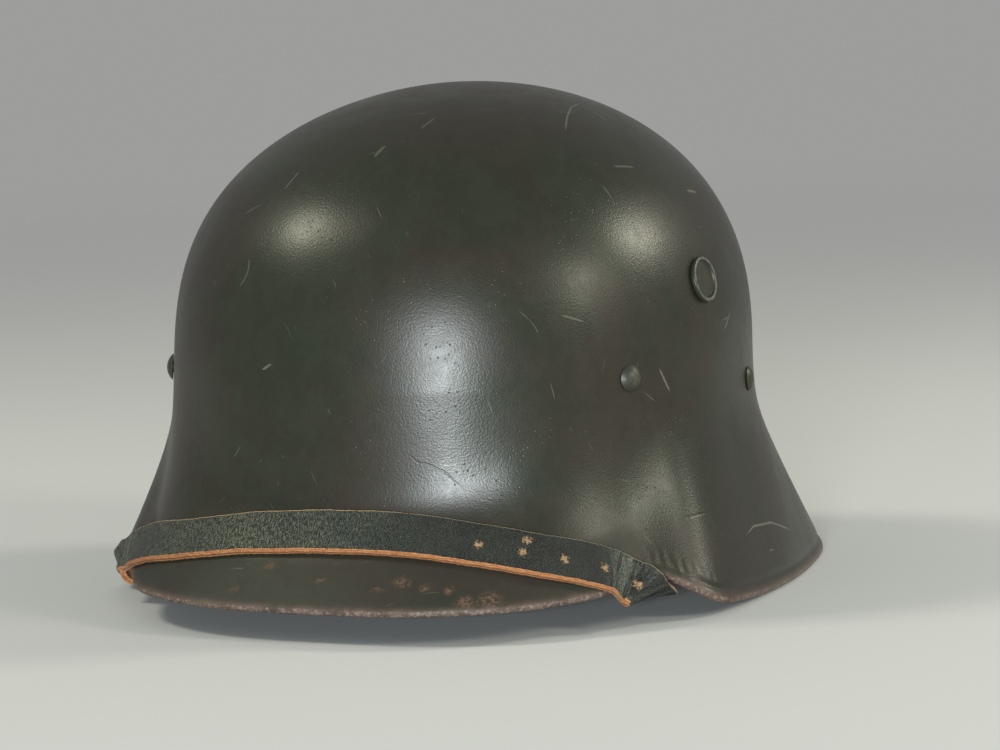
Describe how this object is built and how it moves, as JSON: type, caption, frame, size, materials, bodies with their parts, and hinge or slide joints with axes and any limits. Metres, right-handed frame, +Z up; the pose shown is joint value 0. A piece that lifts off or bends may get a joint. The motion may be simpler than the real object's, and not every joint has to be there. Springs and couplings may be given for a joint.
{
  "type": "civil defense helmet",
  "caption": "Steel helmet shell with flared visor, ear flaps and neck guard, sprung steel-band liner with leather tongues, and a buckled leather chin strap worn over the visor.",
  "frame": {"origin": "middle of the helmet's overall length and width, on the plane its rim stands on", "axes": "+Z up to the crown, -Y is the front with the visor, +X is the wearer's left"},
  "size_m": [0.2286, 0.279, 0.172],
  "materials": {
    "shell_paint": "worn dark olive semi-gloss paint with scratches and rust specks",
    "bushing_paint": "dull olive paint, rubbed bright on the raised ring",
    "worn_paint": "olive paint worn to bare metal on the dome",
    "liner_steel": "dull grey sheet steel with light tarnish",
    "spring_steel": "blued spring steel",
    "rivet_steel": "plain steel rivets, slightly tarnished",
    "felt": "grey-brown pressed felt",
    "liner_leather": "brown sheepskin leather, darkened by wear",
    "lacing": "undyed twisted cord",
    "bail_steel": "dull steel wire and sheet",
    "strap_leather": "pebbled near-black leather with tan cut edges",
    "stud_metal": "tarnished flat-headed studs",
    "buckle_steel": "tarnished steel buckle"
  },
  "bodies": {
    "helmet": {"shell": "shell_paint", "vent_bushing_left": "bushing_paint", "vent_bushing_right": "bushing_paint", "liner_pins": "worn_paint", "liner_pin_washers": "liner_steel", "side_rivets": "worn_paint", "outer_band": "liner_steel", "inner_band": "liner_steel", "band_springs": "spring_steel", "band_rivets": "rivet_steel", "felt_strip": "felt", "leather_liner": "liner_leather", "leather_rivets": "rivet_steel", "liner_lacing": "lacing", "bail_bracket_left": "bail_steel", "bail_bracket_right": "bail_steel", "chin_strap": "strap_leather", "strap_stud": "stud_metal", "buckle_strap": "strap_leather", "buckle_strap_stud": "stud_metal", "buckle_frame": "buckle_steel", "strap_keeper": "strap_leather"},
    "left_bail": {"bail_left": "bail_steel"},
    "right_bail": {"bail_right": "bail_steel"},
    "prong": {"buckle_prong": "buckle_steel"},
    "roller": {"buckle_roller": "buckle_steel"}
  },
  "joints": [
    {"name": "bail_left_swing", "type": "hinge", "parent": "helmet", "child": "left_bail", "pos_m": [0.09161, 0.00825, 0.06332], "axis": [0.0593, -0.4351, 0.8984], "range_deg": [-3, 3]},
    {"name": "bail_right_swing", "type": "hinge", "parent": "helmet", "child": "right_bail", "pos_m": [-0.09161, 0.00825, 0.06332], "axis": [-0.0593, -0.4351, 0.8984], "range_deg": [-3, 3]},
    {"name": "prong_swing", "type": "hinge", "parent": "helmet", "child": "prong", "pos_m": [0.08357, -0.0318, 0.04445], "axis": [-0.0593, 0.4351, -0.8984], "range_deg": [0, 5]},
    {"name": "roller_spin", "type": "hinge", "parent": "helmet", "child": "roller", "pos_m": [0.07625, -0.04479, 0.03864], "axis": [0.0593, -0.4351, 0.8984], "continuous": true}
  ]
}
